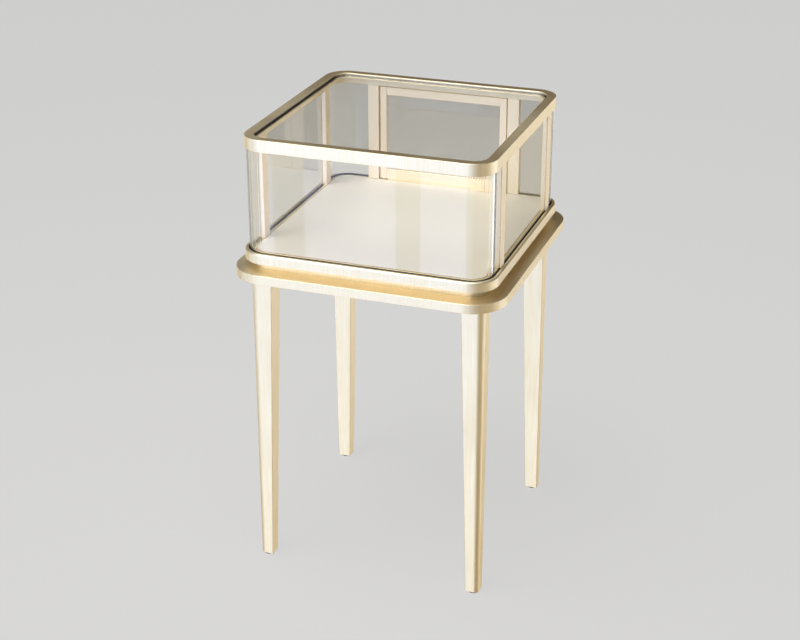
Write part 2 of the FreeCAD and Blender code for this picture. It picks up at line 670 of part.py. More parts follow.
def bushes():
    """A plain bush for the upper pin and a flanged one, which carries the door, for the lower pin."""
    bore = "dims.pin_radius + dims.running_fit"
    flange_top = f"{DOOR_FLOOR} - dims.bush_flange_gap"
    high = (CASE_TOP, f"{CASE_TOP} + dims.top_floor")
    low_bore = (f"{SLOT_FLOOR} - dims.overrun", f"{RING_TOP} + dims.door_lift + dims.overrun")
    high_bore = (f"{CASE_TOP} - dims.overrun", f"{high[1]} + dims.overrun")
    low = fuse("bush_low_blank", rod("bush_low_barrel", "dims.bush_radius", PIVOT, (SLOT_FLOOR, RING_TOP)),
               rod("bush_low_flange", "dims.bush_flange_radius", PIVOT, (RING_TOP, flange_top)))
    return [
        cut("bush_bottom", low, rod("bush_low_bore", bore, PIVOT, low_bore)),
        cut("bush_top", rod("bush_high_barrel", "dims.bush_radius", PIVOT, high),
            rod("bush_high_bore", bore, PIVOT, high_bore)),
    ]


# Cam lock: the cam stands upright when free and turns behind the jamb to lock


def lock():
    """A barrel with a nut in the lock stile, and the plug, cam and screw that turn in it."""
    cam_face = f"({face(TRIM_IN)} - dims.cam_gap)"
    cam_back = f"({cam_face} - dims.cam_thickness)"
    barrel_end = f"({cam_face} + dims.cam_float)"
    flange_face = f"({DOOR_OUT} + dims.barrel_flange_thickness)"
    sleeve = rod("barrel_sleeve", "dims.barrel_radius", LOCK, (barrel_end, DOOR_OUT), axis="y")
    flange = rod("barrel_flange", "dims.barrel_flange_radius", LOCK, (DOOR_OUT, flange_face), axis="y")
    bore = rod("barrel_bore", "dims.plug_radius + dims.running_fit", LOCK,
               (f"{cam_back} - dims.overrun", f"{flange_face} + dims.overrun"), axis="y")
    nut = hexagon("nut_blank", "dims.lock_nut_radius", LOCK, (f"{barrel_end} + dims.lock_nut_gap", DOOR_IN), axis="y")
    nut_bore = rod("nut_bore", "dims.barrel_radius + dims.press_fit", LOCK,
                   (f"{barrel_end} - dims.overrun", f"{DOOR_IN} + dims.overrun"), axis="y")
    core = rod("plug_core", "dims.plug_radius", LOCK, (cam_face, flange_face), axis="y")
    key_slot = box("key_slot", (f"{LOCK[0]} - dims.key_slot_width / 2", f"{LOCK[0]} + dims.key_slot_width / 2"),
                   (f"{flange_face} - dims.key_slot_depth", f"{flange_face} + dims.overrun"),
                   (f"{LOCK[1]} - dims.key_slot_height / 2", f"{LOCK[1]} + dims.key_slot_height / 2"))
    screw_hole = rod("cam_screw_hole", "dims.cam_screw_radius + dims.press_fit", LOCK,
                     (f"{cam_back} - dims.overrun", f"{cam_face} + dims.cam_screw_length"), axis="y")
    hub = rod("cam_hub", "dims.cam_hub_radius", LOCK, (cam_back, cam_face), axis="y")
    arm = box("cam_arm", (f"{LOCK[0]} - dims.cam_width / 2", f"{LOCK[0]} + dims.cam_width / 2"),
              (cam_back, cam_face), (LOCK[1], f"{LOCK[1]} + dims.cam_reach"))
    shank = rod("cam_screw_shank", "dims.cam_screw_radius", LOCK,
                (cam_back, f"{cam_face} + dims.cam_screw_length"), axis="y")
    head = rod("cam_screw_head", "dims.cam_screw_head_radius", LOCK,
               (f"{cam_back} - dims.cam_screw_head_height", cam_back), axis="y")
    return [
        cut("lock_barrel", fuse("barrel_blank", sleeve, flange), bore),
        cut("lock_nut", nut, nut_bore),
        cut("lock_plug", core, key_slot, screw_hole),
        cut("lock_cam", fuse("cam_blank", hub, arm), screw_hole),
        fuse("cam_screw", shank, head),
    ]


pieces = legs() + fasteners() + plinth() + neck() + base() + deck() + posts() + panes() + top()
pieces += door() + bushes() + lock()
doc.recompute()

for item in doc.Objects:
    if "Invalid" in item.State or "Error" in item.State:
        raise RuntimeError(f"{item.Name} failed: {item.State}")
for piece in pieces:
    if piece.Shape.isNull() or not piece.Shape.isValid() or not piece.Shape.Solids:
        raise RuntimeError(f"{piece.Label} has no valid solid")

os.makedirs("parts", exist_ok=True)
for piece in pieces:
    piece.Shape.exportStep(f"parts/{piece.Label}.step")
    print(piece.Label, len(piece.Shape.Solids), round(piece.Shape.Volume))
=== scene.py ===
"""Jewelry display cabinet in brushed champagne gold and clear glass: its looks, light and camera."""
import math

import bmesh
import bpy
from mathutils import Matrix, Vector


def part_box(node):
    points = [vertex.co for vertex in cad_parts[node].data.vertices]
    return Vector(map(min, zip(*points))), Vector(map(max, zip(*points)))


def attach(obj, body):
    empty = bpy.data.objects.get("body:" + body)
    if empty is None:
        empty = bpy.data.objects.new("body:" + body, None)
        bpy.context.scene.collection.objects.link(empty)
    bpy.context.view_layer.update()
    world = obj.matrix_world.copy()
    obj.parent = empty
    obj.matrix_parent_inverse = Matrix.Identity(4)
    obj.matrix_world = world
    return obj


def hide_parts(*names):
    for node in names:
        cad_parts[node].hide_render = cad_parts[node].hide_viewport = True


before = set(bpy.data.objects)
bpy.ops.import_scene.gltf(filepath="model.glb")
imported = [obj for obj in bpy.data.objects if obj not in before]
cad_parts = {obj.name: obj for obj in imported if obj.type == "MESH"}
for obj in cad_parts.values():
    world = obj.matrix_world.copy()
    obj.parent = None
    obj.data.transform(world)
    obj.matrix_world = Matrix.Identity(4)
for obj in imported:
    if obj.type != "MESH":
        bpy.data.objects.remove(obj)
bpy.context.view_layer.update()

# Legs
# Four tapered square tubes of stainless steel, folded and welded, brushed lengthwise and plated champagne
# gold. Only the outer corner is rounded; each leg is bolted to the plinth through a welded end plate.


def linear(code):
    """An sRGB hex colour as linear red, green, blue and full alpha."""
    parts = [int(code[start:start + 2], 16) / 255 for start in (0, 2, 4)]
    return [part / 12.92 if part < 0.04045 else ((part + 0.055) / 1.055) ** 2.4 for part in parts] + [1.0]


def add(tree, kind, inputs=None, **settings):
    """Adds a shader node with its settings; an input is a value, or the socket that it is linked from."""
    node = tree.nodes.new(kind)
    for name, setting in settings.items():
        setattr(node, name, setting)
    for name, given in (inputs or {}).items():
        if isinstance(given, bpy.types.NodeSocket):
            tree.links.new(given, node.inputs[name])
        else:
            node.inputs[name].default_value = given
    return node


def new_finish(name):
    """An empty material and its node tree."""
    finish = bpy.data.materials.new(name)
    finish.use_nodes = True
    finish.node_tree.nodes.clear()
    return finish, finish.node_tree


def noise(tree, width, detail):
    """A cloudy pattern over the piece, with patches of about a width in metres."""
    position = add(tree, "ShaderNodeTexCoord").outputs["Object"]
    return add(tree, "ShaderNodeTexNoise", {
        "Vector": position, "Scale": 1 / width, "Detail": detail}).outputs["Fac"]


def blend(tree, factor, first, second):
    """A colour that runs with a factor from one hex colour to another."""
    return add(tree, "ShaderNodeMix", {
        "Factor": factor, "A": linear(first), "B": linear(second)}, data_type="RGBA").outputs["Result"]


def shade(tree, inputs):
    """Gives a material its one shader with these inputs."""
    shader = add(tree, "ShaderNodeBsdfPrincipled", inputs)
    add(tree, "ShaderNodeOutputMaterial", {"Surface": shader.outputs["BSDF"]})


SHARP_ANGLE = math.radians(25)
EASED_ANGLE = math.radians(40)
EASED_SEGMENTS = 3


def dress(name, vertices, faces, body, node, slot, finish, edge=0):
    """Makes a piece from its mesh in metres, eases its edges by a radius, and stands it in for a solid."""
    mesh = bpy.data.meshes.new(name)
    mesh.from_pydata(vertices, [], faces)
    work = bmesh.new()
    work.from_mesh(mesh)
    bmesh.ops.recalc_face_normals(work, faces=work.faces)
    work.to_mesh(mesh)
    work.free()
    mesh.materials.append(finish)
    mesh.polygons.foreach_set("use_smooth", [True] * len(mesh.polygons))
    mesh.set_sharp_from_angle(angle=SHARP_ANGLE)
    piece = bpy.data.objects.new(name, mesh)
    bpy.context.scene.collection.objects.link(piece)
    if edge:
        eased = piece.modifiers.new("eased_edges", "BEVEL")
        eased.width = edge
        eased.segments = EASED_SEGMENTS
        eased.limit_method = "ANGLE"
        eased.angle_limit = EASED_ANGLE
    shading = piece.modifiers.new("level_faces", "WEIGHTED_NORMAL")
    shading.keep_sharp = True
    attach(piece, body)
    if node:
        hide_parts(node)


# Brushed stainless steel, plated champagne gold: the brush lines blur what stands opposite into soft upright
# streaks, while level faces keep a calm satin. Real lines are 0.1 mm apart; here 3 mm, to show at all.
LINE_WIDTH = 0.003
LINE_LENGTH = 0.12
LINE_DEPTH = 0.0005
CLOUD_WIDTH = 0.09
UPRIGHT_BITE = 0.55
LEVEL_BITE = 0.12
# Most of a noise lies in this span
NOISE_SPAN = {"From Min": 0.3, "From Max": 0.7}
# How level a face is, from 0 upright to 1 level: the bite changes between these two
LEVEL_SPAN = {"From Min": 0.2, "From Max": 0.8}


def upright_lines(tree):
    """A noise over the piece, drawn out upright into lines."""
    position = add(tree, "ShaderNodeTexCoord").outputs["Object"]
    stretched = add(tree, "ShaderNodeMapping", {
        "Vector": position, "Scale": (1 / LINE_WIDTH, 1 / LINE_WIDTH, 1 / LINE_LENGTH)}).outputs["Vector"]
    return add(tree, "ShaderNodeTexNoise", {
        "Vector": stretched, "Scale": 1.0, "Detail": 2.0}).outputs["Fac"]


brushed_gold, tree = new_finish("brushed_champagne_gold")
lines = upright_lines(tree)
streak = add(tree, "ShaderNodeMapRange", {"Value": lines, **NOISE_SPAN}).outputs["Result"]
cloud = noise(tree, CLOUD_WIDTH, 2.0)
rough = add(tree, "ShaderNodeMapRange", {"Value": cloud, **NOISE_SPAN, "To Min": 0.39, "To Max": 0.45})
normal = add(tree, "ShaderNodeNewGeometry").outputs["Normal"]
upward = add(tree, "ShaderNodeSeparateXYZ", {"Vector": normal}).outputs["Z"]
levelness = add(tree, "ShaderNodeMath", {0: upward}, operation="ABSOLUTE")
bite = add(tree, "ShaderNodeMapRange", {
    "Value": levelness.outputs["Value"], **LEVEL_SPAN, "To Min": UPRIGHT_BITE, "To Max": LEVEL_BITE})
scratch = add(tree, "ShaderNodeBump", {
    "Height": lines, "Strength": bite.outputs["Result"], "Distance": LINE_DEPTH})
level_way = add(tree, "ShaderNodeTangent", direction_type="RADIAL", axis="Z")
shade(tree, {
    "Base Color": blend(tree, streak, "F7ECCF", "FCF5E1"), "Metallic": 1.0,
    "Roughness": rough.outputs["Result"], "Specular Tint": linear("FFDFA8"), "Anisotropic": 0.35,
    "Tangent": level_way.outputs["Tangent"], "Normal": scratch.outputs["Normal"]})


def prism_faces(count):
    """The faces between two outlines of so many points, one above the other, with both ends closed."""
    ends = [tuple(range(count)), tuple(range(count, 2 * count))]
    return ends + [(i, (i + 1) % count, count + (i + 1) % count, count + i) for i in range(count)]


LEG_TOP_WIDTH = 0.049
LEG_FOOT_WIDTH = 0.0295
LEG_TOP_RADIUS = 0.016
LEG_FOOT_RADIUS = 0.012
LEG_CORNER_STEPS = 12
LEG_EDGE = 0.0013
for name, right, rear in (("leg_front_left", -1, -1), ("leg_front_right", 1, -1),
                          ("leg_rear_left", -1, 1), ("leg_rear_right", 1, 1)):
    low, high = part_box(name)
    outer = max(abs(low.x), abs(high.x))
    vertices = []
    for height, width, radius in ((low.z, LEG_FOOT_WIDTH, LEG_FOOT_RADIUS),
                                  (high.z, LEG_TOP_WIDTH, LEG_TOP_RADIUS)):
        inner = outer - width
        centre = outer - radius
        section = [(outer, inner)]
        for step in range(LEG_CORNER_STEPS + 1):
            angle = math.radians(90 * step / LEG_CORNER_STEPS)
            section.append((centre + radius * math.cos(angle), centre + radius * math.sin(angle)))
        section += [(inner, outer), (inner, inner)]
        vertices += [(right * x, rear * y, height) for x, y in section]
    faces = prism_faces(len(vertices) // 2)
    dress(f"{name}_brushed", vertices, faces, "cabinet", name, "gold", brushed_gold, LEG_EDGE)

# Glides
# Black moulded nylon buttons, each pressed into the end plate of a leg by its stem.
# Moulded nylon has a fine spark-eroded grain and a soft, dim gloss.
NYLON_GRAIN = 0.0006
moulded_nylon, tree = new_finish("moulded_black_nylon")
grain = noise(tree, NYLON_GRAIN, 3.0)
pits = add(tree, "ShaderNodeBump", {"Height": grain, "Strength": 0.3, "Distance": 0.0001})
shade(tree, {
    "Base Color": linear("1B1A19"), "Roughness": 0.55, "IOR": 1.53, "Normal": pits.outputs["Normal"]})


def coat(names, finish):
    """Gives solids that already have the right shape their finish."""
    for name in names:
        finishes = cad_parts[name].data.materials
        finishes.clear()
        finishes.append(finish)


coat(["foot_glide_front_left", "foot_glide_front_right", "foot_glide_rear_left", "foot_glide_rear_right"],
     moulded_nylon)

# Plinth, neck and base
# Gold sheet folded over rounded fibreboard plates: the wide plinth, a recessed neck that leaves a shadow
# gap, and the base ring, whose rim folds down into the glazing slot. Screws from below hold the stack.
PLINTH_RADIUS = 0.078
PLINTH_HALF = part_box("plinth_cover")[1].x
CORNER_STEPS = 24


def bend(first, last, steps=CORNER_STEPS):
    """One rounded corner of the plinth's outline between two angles: places and outward directions."""
    middle = math.radians((first + last) / 2)
    reach = PLINTH_HALF - PLINTH_RADIUS
    centre = Vector((math.copysign(reach, math.cos(middle)), math.copysign(reach, math.sin(middle))))
    corner = []
    for step in range(steps + 1):
        angle = math.radians(first + (last - first) * step / steps)
        outward = Vector((math.cos(angle), math.sin(angle)))
        corner.append((centre + PLINTH_RADIUS * outward, outward))
    return corner


ROUND_TRIP = bend(90, 0) + bend(0, -90) + bend(-90, -180) + bend(180, 90)


def sweep(route, section, closed_route=True, closed_section=True):
    """Vertices and faces of a section, in setbacks from the plinth and heights, carried along a route.

    An open section is closed by a plate at each end; an open route is closed by the section at each end.
    """
    count = len(section)
    vertices = []
    for spot, outward in route:
        for setback, height in section:
            at = spot - setback * outward
            vertices.append((at.x, at.y, height))
    runs = len(route) if closed_route else len(route) - 1
    strips = count if closed_section else count - 1
    faces = []
    for i in range(runs):
        j = (i + 1) % len(route)
        for k in range(strips):
            n = (k + 1) % count
            faces.append((i * count + k, i * count + n, j * count + n, j * count + k))
    if not closed_section:
        faces.append(tuple(i * count for i in range(len(route))))
        faces.append(tuple(i * count + count - 1 for i in range(len(route))))
    if not closed_route:
        faces.append(tuple(range(count)))
        faces.append(tuple((len(route) - 1) * count + k for k in range(count)))
    return vertices, faces


SHEET = 0.0015
SHEET_EDGE = 0.0008
FINE_EDGE = 0.0004
low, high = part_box("plinth_cover")
section = [(SHEET, high.z - SHEET), (SHEET, low.z), (0, low.z), (0, high.z)]
dress("plinth_cover_brushed", *sweep(ROUND_TRIP, section, closed_section=False), "cabinet", "plinth_cover",
      "gold", brushed_gold, SHEET_EDGE)

low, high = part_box("neck_band")
setback = PLINTH_HALF - high.x
section = [(setback, low.z), (setback, high.z), (setback + SHEET, high.z), (setback + SHEET, low.z)]
dress("neck_band_brushed", *sweep(ROUND_TRIP, section), "cabinet", "neck_band", "gold", brushed_gold)


def rounded(section, radii, steps=5):
    """A section with some of its square corners rounded; radii holds a radius by the corner's number."""
    shaped = []
    for number, corner in enumerate(section):
        if number not in radii:
            shaped.append(corner)
            continue
        at = Vector(corner)
        before = (Vector(section[number - 1]) - at).normalized()
        after = (Vector(section[(number + 1) % len(section)]) - at).normalized()
        for step in range(steps + 1):
            angle = math.radians(90 * step / steps)
            inward = (1 - math.sin(angle)) * before + (1 - math.cos(angle)) * after
            shaped.append(tuple(at + radii[number] * inward))
    return shaped


RIM_WIDTH = 0.0095
RIM_RADIUS = 0.004
SLOT_RADIUS = 0.001
SLOT_DEPTH = 0.0065
low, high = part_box("base_ring")
setback = PLINTH_HALF - high.x
slot = setback + RIM_WIDTH
section = [(setback, low.z), (setback, high.z), (slot, high.z), (slot, high.z - SLOT_DEPTH),
           (slot - SHEET, high.z - SLOT_DEPTH), (slot - SHEET, high.z - SHEET),
           (setback + SHEET, high.z - SHEET), (setback + SHEET, low.z)]
section = rounded(section, {1: RIM_RADIUS, 2: SLOT_RADIUS})
dress("base_ring_brushed", *sweep(ROUND_TRIP, section), "cabinet", "base_ring", "gold", brushed_gold,
      FINE_EDGE)

coat(["plinth_panel", "base_panel"], brushed_gold)

# Medium-density fibreboard: pressed wood fibre, cut on a saw, with a fuzzy brown flecked face.
FLECK_WIDTH = 0.002
fibreboard, tree = new_finish("sawn_fibreboard")
fleck = noise(tree, FLECK_WIDTH, 4.0)
fuzz = add(tree, "ShaderNodeBump", {"Height": fleck, "Strength": 0.4, "Distance": 0.0003})
shade(tree, {
    "Base Color": blend(tree, fleck, "8F6E4A", "B4936A"), "Roughness": 0.85,
    "Normal": fuzz.outputs["Normal"]})
coat(["plinth_board", "neck_board", "base_board", "deck_board"], fibreboard)

# Zinc-plated steel: rolled threads and pressed heads with a cool, slightly mottled grey plating.
ZINC_MOTTLE = 0.0015
zinc, tree = new_finish("zinc_plated_steel")
spangle = noise(tree, ZINC_MOTTLE, 3.0)
shade(tree, {"Base Color": blend(tree, spangle, "A9ABAD", "C9CBCC"), "Metallic": 1.0, "Roughness": 0.38})
coat(["leg_bolts", "stack_screws", "door_pins", "cam_screw"], zinc)

# Glazing gasket
# A black rubber channel pressed into the slot between the rim and the bead; the panes stand in it.
# Extruded rubber is a dead matte near-black with a faint bloom; the top's seal is of the same rubber.
BLOOM_WIDTH = 0.012
gasket_rubber, tree = new_finish("extruded_black_rubber")
bloom = noise(tree, BLOOM_WIDTH, 3.0)
shade(tree, {"Base Color": blend(tree, bloom, "060505", "0D0B0A"), "Roughness": 0.95, "IOR": 1.52})
coat(["glass_gasket", "top_seal"], gasket_rubber)

# Bead and door sill
# A solid bead of the same brushed steel holds the panes from inside and frames the deck. It stops at the
# door, where a sill with a low stop takes its place.
BEAD_WIDTH = 0.0095
BEAD_RADIUS = 0.0047
DOOR_HALF_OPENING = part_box("door_sill")[1].x


def at_rear(along):
    """A station of a route in the rear wall."""
    return Vector((along, PLINTH_HALF)), Vector((0, 1))


low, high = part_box("deck_trim")
outer = PLINTH_HALF - high.x
inner = outer + BEAD_WIDTH
section = [(outer, low.z), (outer, high.z), (inner, high.z), (inner, low.z)]
section = rounded(section, {1: BEAD_RADIUS, 2: BEAD_RADIUS})
bead_route = [at_rear(DOOR_HALF_OPENING), *ROUND_TRIP, at_rear(-DOOR_HALF_OPENING)]
dress("deck_trim_brushed", *sweep(bead_route, section, closed_route=False), "cabinet", "deck_trim", "gold",
      brushed_gold, FINE_EDGE)
coat(["door_sill"], brushed_gold)

# Deck
# The display surface: a board faced with cream laminate, laid inside the bead with a hairline gap.
# Matte laminate is smooth, with a faint paper mottle under a dim satin film.
PAPER_MOTTLE = 0.006
DECK_EDGE = 0.0005
cream_laminate, tree = new_finish("matte_cream_laminate")
mottle = noise(tree, PAPER_MOTTLE, 4.0)
orange_peel = add(tree, "ShaderNodeBump", {"Height": mottle, "Strength": 0.1, "Distance": 0.0001})
shade(tree, {
    "Base Color": blend(tree, mottle, "EDEBE6", "F2F1ED"), "Roughness": 0.5, "IOR": 1.5,
    "Normal": orange_peel.outputs["Normal"]})
low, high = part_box("deck_pad")
setback = PLINTH_HALF - high.x
section = [(setback, low.z), (setback, high.z)]
dress("deck_pad_faced", *sweep(ROUND_TRIP, section, closed_section=False), "cabinet", "deck_pad", "deck",
      cream_laminate, DECK_EDGE)

# Posts and jambs
# Tubes of extruded aluminium with a groove in each edge that takes a pane: two in each side wall, and one
# either side of the door. They run from the base to the top ring.

# Extruded aluminium, satin etched and anodised champagne, with faint die lines and a blurrier sheen. Its
# colour
# is painted paler than the plated steel: painted light, standing in for light that the posts, jambs and door
# frame among and behind the panes lack. Real lines are under 0.1 mm apart; here as coarse as the brush
# lines, to show.
DIE_LINE_DEPTH = 0.0003
anodised_painted_pale, tree = new_finish("anodised_champagne_aluminium")
drawn = upright_lines(tree)
die_lines = add(tree, "ShaderNodeBump", {"Height": drawn, "Strength": 1.0, "Distance": DIE_LINE_DEPTH})
# The pale base colour is painted light that lifts the frames; the die lines only vary it a little.
shade(tree, {
    "Base Color": blend(tree, drawn, "FBEFD6", "FFF6E4"), "Metallic": 1.0, "Roughness": 0.5,
    "Specular Tint": linear("FFE2B0"), "Normal": die_lines.outputs["Normal"]})
GLASS = 0.005
GROOVE_WIDTH = 0.0052
GROOVE_DEPTH = 0.004


def upright(name, wall, grooved):
    """A tube in the wall across x or y, with a groove for a pane at the named ends of its run."""
    low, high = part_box(name)
    across = 0 if wall == "x" else 1
    along = 1 - across
    neighbour = "side_glass_right" if wall == "x" else "corner_glass_right"
    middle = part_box(neighbour)[1][across] - GLASS / 2
    middle = math.copysign(middle, low[across] + high[across])
    near = middle - GROOVE_WIDTH / 2
    far = middle + GROOVE_WIDTH / 2
    section = [(low[across], low[along])]
    if "low" in grooved:
        deep = low[along] + GROOVE_DEPTH
        section += [(near, low[along]), (near, deep), (far, deep), (far, low[along])]
    section += [(high[across], low[along]), (high[across], high[along])]
    if "high" in grooved:
        deep = high[along] - GROOVE_DEPTH
        section += [(far, high[along]), (far, deep), (near, deep), (near, high[along])]
    section.append((low[across], high[along]))
    vertices = []
    for height in (low.z, high.z):
        for through, run in section:
            vertices.append((through, run, height) if wall == "x" else (run, through, height))
    faces = prism_faces(len(section))
    dress(f"{name}_brushed", vertices, faces, "cabinet", name, "gold", anodised_painted_pale, FINE_EDGE)


for side in ("left", "right"):
    upright(f"post_front_{side}", "x", ("low", "high"))
    upright(f"post_rear_{side}", "x", ("low", "high"))
upright("jamb_left", "y", ("low",))
upright("jamb_right", "y", ("high",))

# Panes
# Clear tempered glass with polished edges: one pane bent round both front corners, a flat pane in each side
# and a bent one in each rear corner. They stand in the gasket and end in the grooves of the posts.


def glass(name, tint):
    """Polished glass with the tint that it gives at each face; shadow and diffuse rays pass straight."""
    finish, tree = new_finish(name)
    solid = add(tree, "ShaderNodeBsdfPrincipled", {
        "Base Color": linear(tint), "Roughness": 0.0, "IOR": 1.5, "Transmission Weight": 1.0})
    let_through = add(tree, "ShaderNodeBsdfTransparent", {"Color": linear("FBFBFA")})
    ray = add(tree, "ShaderNodeLightPath")
    unseen = add(tree, "ShaderNodeMath", {
        0: ray.outputs["Is Shadow Ray"], 1: ray.outputs["Is Diffuse Ray"]}, operation="MAXIMUM")
    either = add(tree, "ShaderNodeMixShader", {
        0: unseen.outputs["Value"], 1: solid.outputs["BSDF"], 2: let_through.outputs["BSDF"]})
    add(tree, "ShaderNodeOutputMaterial", {"Surface": either.outputs["Shader"]})
    return finish


# Float glass, poured flat on molten tin: mirror-smooth and clear, with a pale straw tint at each face.
float_glass = glass("clear_float_glass", "F7F5EE")
RIPPLES = 14
RIPPLE_STEPS = 8
RIPPLE_DEPTH = 0.0002


def bent_pane(name, start, corners, end):
    """A pane from end to end round its corners; bending left shallow upright ripples in each corner."""
    low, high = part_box(name)
    outer = PLINTH_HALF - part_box("front_glass")[1].x
    section = [(outer, low.z), (outer, high.z), (outer + GLASS, high.z), (outer + GLASS, low.z)]
    route = [start]
    depths = [0]
    for first, last in corners:
        corner = bend(first, last, RIPPLES * RIPPLE_STEPS)
        route += corner
        depths += [RIPPLE_DEPTH * math.sin(math.pi * RIPPLES * step / (len(corner) - 1)) ** 2
                   for step in range(len(corner))]
    route.append(end)
    depths.append(0)
    vertices, faces = sweep(route, section, closed_route=False)
    for number, ((_, outward), depth) in enumerate(zip(route, depths)):
        outer_foot = len(section) * number
        for vertex in (outer_foot, outer_foot + 1):
            x, y, z = vertices[vertex]
            vertices[vertex] = (x - depth * outward.x, y - depth * outward.y, z)
    dress(f"{name}_pane", vertices, faces, "cabinet", name, "glass", float_glass)


def at_side(sign, along):
    """A station of a route in the left or right wall."""
    return Vector((sign * PLINTH_HALF, along)), Vector((sign, 0))


front_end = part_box("front_glass")[1].y
bent_pane("front_glass", at_side(1, front_end), [(0, -90), (-90, -180)], at_side(-1, front_end))
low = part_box("corner_glass_right")[0]
bent_pane("corner_glass_right", at_side(1, low.y), [(0, 90)], at_rear(low.x))
low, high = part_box("corner_glass_left")
bent_pane("corner_glass_left", at_side(-1, low.y), [(180, 90)], at_rear(high.x))


def block(name):
    """Vertices and faces of a plain block as large as a solid's box."""
    low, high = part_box(name)
    vertices = [(x, y, z) for x in (low.x, high.x) for y in (low.y, high.y) for z in (low.z, high.z)]
    return vertices, [(0, 1, 3, 2), (4, 6, 7, 5), (0, 4, 5, 1), (2, 3, 7, 6), (0, 2, 6, 4), (1, 5, 7, 3)]


for name in ("side_glass_left", "side_glass_right"):
    dress(f"{name}_pane", *block(name), "cabinet", name, "glass", float_glass, FINE_EDGE)

# Gasket lips
# Soft wedges of the same rubber, pushed in beside the panes last, between the posts. Outside they lap over
# the rim; inside they only fill the gap to the bead.
LIP_HEIGHT = 0.0012
LIP_LAP = 0.0024
LIP_CLEARANCE = 0.0001
LIP_BULGE = 0.7
INNER_SHARE = 0.25
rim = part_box("base_ring")[1].z
face = PLINTH_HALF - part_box("front_glass")[1].x
front_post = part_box("post_front_right")
rear_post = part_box("post_rear_right")
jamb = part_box("jamb_right")[1].x
lip_routes = {
    "front": [at_side(1, front_post[0].y), *bend(0, -90), *bend(-90, -180), at_side(-1, front_post[0].y)],
    "left": [at_side(-1, front_post[1].y), at_side(-1, rear_post[0].y)],
    "right": [at_side(1, front_post[1].y), at_side(1, rear_post[0].y)],
    "rear_left": [at_side(-1, rear_post[1].y), *bend(180, 90), at_rear(-jamb)],
    "rear_right": [at_side(1, rear_post[1].y), *bend(0, 90), at_rear(jamb)],
}
for name, route in lip_routes.items():
    for side, against, away, share in (("outer", face, -1, 1.0), ("inner", face + GLASS, 1, INNER_SHARE)):
        root = against + away * LIP_CLEARANCE
        tip = root + away * share * LIP_LAP
        crest = share * LIP_HEIGHT
        section = [(root, rim), (root, rim + crest), ((root + tip) / 2, rim + LIP_BULGE * crest), (tip, rim)]
        lip = sweep(route, section, closed_route=False)
        dress(f"gasket_lip_{name}_{side}", *lip, "cabinet", None, "rubber", gasket_rubber)

# Top ring, seal and glass top
# A hollow ring of the same brushed steel closes the case from above. Its inner ledge carries the glass top
# in a black rubber seal, a few millimetres below the rim.
TOP_WIDTH = 0.020
TOP_LEDGE = 0.007
LEDGE_THICKNESS = 0.002
low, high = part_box("top_ring")
outer = PLINTH_HALF - high.x
inner = outer + TOP_WIDTH
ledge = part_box("top_seal")[0].z
section = [(outer, low.z), (outer, high.z), (inner, high.z), (inner, ledge), (inner + TOP_LEDGE, ledge),
           (inner + TOP_LEDGE, ledge - LEDGE_THICKNESS), (inner, ledge - LEDGE_THICKNESS), (inner, low.z)]
dress("top_ring_brushed", *sweep(ROUND_TRIP, section), "cabinet", "top_ring", "gold", brushed_gold,
      SHEET_EDGE)

# Low-iron glass: floated from purer sand, so it has almost none of the tint of the panes in the walls.
low_iron_glass = glass("low_iron_glass", "FDFCFA")
low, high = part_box("top_glass")
setback = PLINTH_HALF - high.x
section = [(setback, low.z), (setback, high.z)]
dress("top_glass_pane", *sweep(ROUND_TRIP, section, closed_section=False), "cabinet", "top_glass", "glass",
      low_iron_glass, FINE_EDGE)

# Rear door
# A frame of two stiles and two rails in the same anodised aluminium round a pane of float glass.
# It hangs on a pin at each end of the hinge stile, beside the left jamb.
DOOR_EDGE = 0.0009
for name in ("door_stile_hinge", "door_stile_lock", "door_rail_top", "door_rail_bottom"):
    dress(f"{name}_brushed", *block(name), "door", name, "gold", anodised_painted_pale, DOOR_EDGE)
dress("door_glass_pane", *block("door_glass"), "door", "door_glass", "glass", float_glass, FINE_EDGE)

# Bushes and lock
# Brass bushes, pressed into the sill and the top ring, carry the door's pins. The cam lock in the lock
# stile is a nickel-plated barrel with a nut, and a plug that turns the cam.

# Brass bar, turned on a lathe: fine tool marks soften its warm yellow shine.
TOOL_MARK = 0.0004
turned_brass, tree = new_finish("turned_brass")
marks = noise(tree, TOOL_MARK, 1.0)
turned = add(tree, "ShaderNodeBump", {"Height": marks, "Strength": 0.2, "Distance": 0.00005})
shade(tree, {
    "Base Color": linear("CFAE62"), "Metallic": 1.0, "Roughness": 0.3, "Normal": turned.outputs["Normal"]})
coat(["bush_top", "bush_bottom"], turned_brass)

# Nickel, plated over polished metal: a bright, faintly warm mirror under a thin uneven haze.
HAZE_WIDTH = 0.003
nickel, tree = new_finish("nickel_plate")
haze = noise(tree, HAZE_WIDTH, 2.0)
dull = add(tree, "ShaderNodeMapRange", {"Value": haze, "To Min": 0.12, "To Max": 0.22})
shade(tree, {"Base Color": linear("D5D2CB"), "Metallic": 1.0, "Roughness": dull.outputs["Result"]})
coat(["lock_barrel", "lock_nut", "lock_plug", "lock_cam"], nickel)

# Studio
# A plain pale paper floor, a soft box overhead and one in front, and a room whose walls the metal and glass
# reflect. None of it is part of the cabinet.
BACKDROP = "DADADA"
scene = bpy.context.scene
scene.view_settings.view_transform = "Standard"

# The paper shows pale to the camera and through the panes, and keeps a share of its own light and shadow.
# In reflections it gives way to the room below the horizon, and from below it is clear.
LIT_SHARE = 0.15
